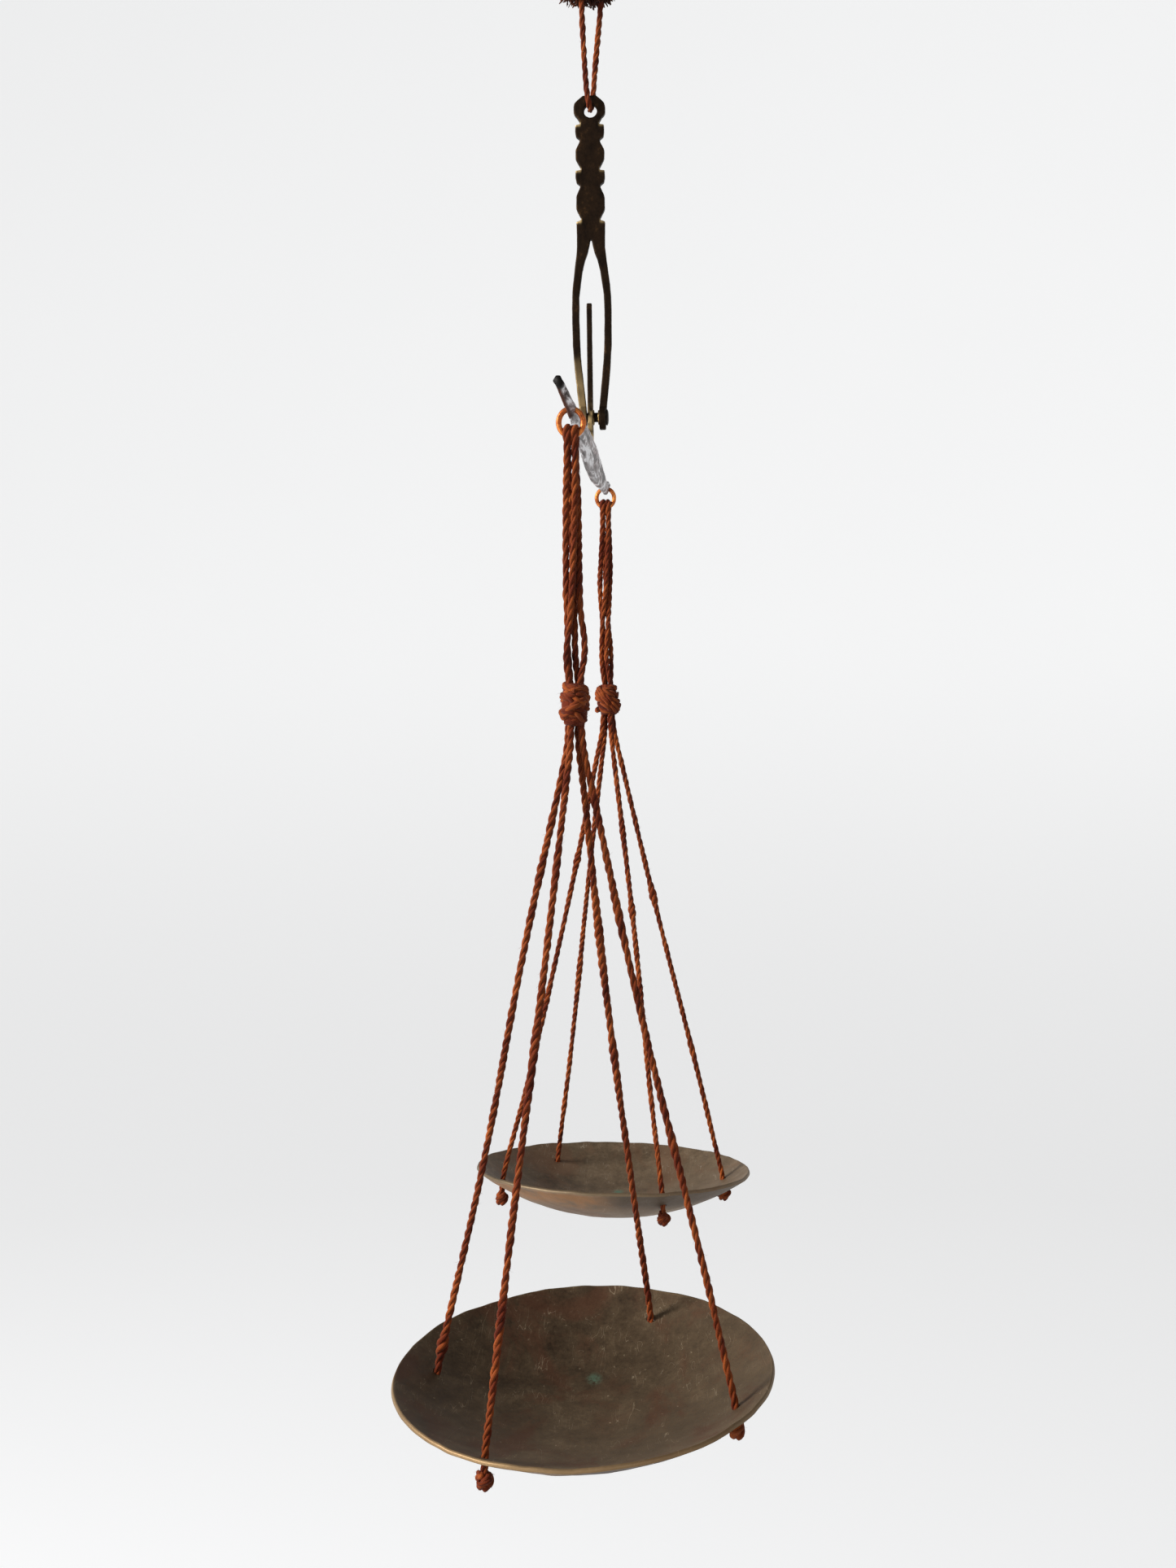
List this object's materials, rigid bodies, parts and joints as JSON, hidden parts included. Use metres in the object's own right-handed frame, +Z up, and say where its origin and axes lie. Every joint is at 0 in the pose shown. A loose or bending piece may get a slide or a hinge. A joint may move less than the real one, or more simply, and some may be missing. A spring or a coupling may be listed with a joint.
{
  "type": "hanging pan balance",
  "caption": "Small hand-held balance: forked shears with tongue, tapering beam, wire rings and two dished pans on knotted cords.",
  "frame": {"origin": "inside of the finger loop's top, where a finger, a hook or a nail holds the balance", "axes": "+Z up along the hanging cord, X along the beam with the right pan at +X, Y along the pivot pin"},
  "size_m": [0.2246, 0.075, 0.3415],
  "materials": {
    "tuft_yarn": "dark brown fuzzy wool yarn",
    "cord": "twisted rust-brown cotton cord with loose hairs",
    "dark_brass": "dark bronze patina, bright brass in the filed notches",
    "dark_steel": "blackened steel pin",
    "bright_brass": "rubbed brass",
    "tinned_metal": "worn grey tinned metal, mottled, hand-filed facets",
    "copper_wire": "orange copper wire",
    "pan_brass_right": "dark olive-brown brass with mottled patina and fine scratches",
    "pan_brass_left": "dull grey-brown brass, orange-brown on its outer wall"
  },
  "bodies": {
    "suspension": {"hand_tuft": "tuft_yarn", "finger_loop": "cord", "hanging_cord": "cord"},
    "shears": {"shears": "dark_brass", "pivot_pin": "dark_steel", "pivot_washer": "bright_brass"},
    "beam": {"tongue": "dark_brass", "beam": "tinned_metal"},
    "right_ring": {"right_ring": "copper_wire"},
    "right_pan_set": {"right_hanger_front": "cord", "right_hanger_back": "cord", "right_knot": "cord", "right_string_1": "cord", "right_stopper_1": "cord", "right_string_2": "cord", "right_stopper_2": "cord", "right_string_3": "cord", "right_stopper_3": "cord", "right_string_4": "cord", "right_stopper_4": "cord", "right_pan": "pan_brass_right"},
    "left_ring": {"left_ring": "copper_wire"},
    "left_pan_set": {"left_hanger_front": "cord", "left_hanger_back": "cord", "left_knot": "cord", "left_string_1": "cord", "left_stopper_1": "cord", "left_string_2": "cord", "left_stopper_2": "cord", "left_string_3": "cord", "left_stopper_3": "cord", "left_string_4": "cord", "left_stopper_4": "cord", "left_pan": "pan_brass_left"}
  },
  "joints": [
    {"name": "shears_sway", "type": "hinge", "parent": "suspension", "child": "shears", "pos_m": [0, 0, -0.06215], "axis": [1, 0, 0], "range_deg": [-30, 30]},
    {"name": "beam_tilt", "type": "hinge", "parent": "shears", "child": "beam", "pos_m": [0, 0, -0.1318], "axis": [0, 1, 0], "range_deg": [-25, 25]},
    {"name": "right_ring_swing", "type": "hinge", "parent": "beam", "child": "right_ring", "pos_m": [0.075, -0.0006, -0.1405], "axis": [0, 1, 0], "range_deg": [-25, 25]},
    {"name": "right_pan_sway", "type": "hinge", "parent": "right_ring", "child": "right_pan_set", "pos_m": [0.075, -0.0006, -0.14305], "axis": [1, 0, 0], "range_deg": [-20, 20]},
    {"name": "left_ring_swing", "type": "hinge", "parent": "beam", "child": "left_ring", "pos_m": [-0.075, -0.0006, -0.1405], "axis": [0, 1, 0], "range_deg": [-25, 25]},
    {"name": "left_pan_sway", "type": "hinge", "parent": "left_ring", "child": "left_pan_set", "pos_m": [-0.075, -0.0006, -0.14305], "axis": [1, 0, 0], "range_deg": [-20, 20]}
  ],
  "couplings": [
    {"joint": "right_ring_swing", "follows": "beam_tilt", "ratio": -1},
    {"joint": "left_ring_swing", "follows": "beam_tilt", "ratio": -1}
  ]
}
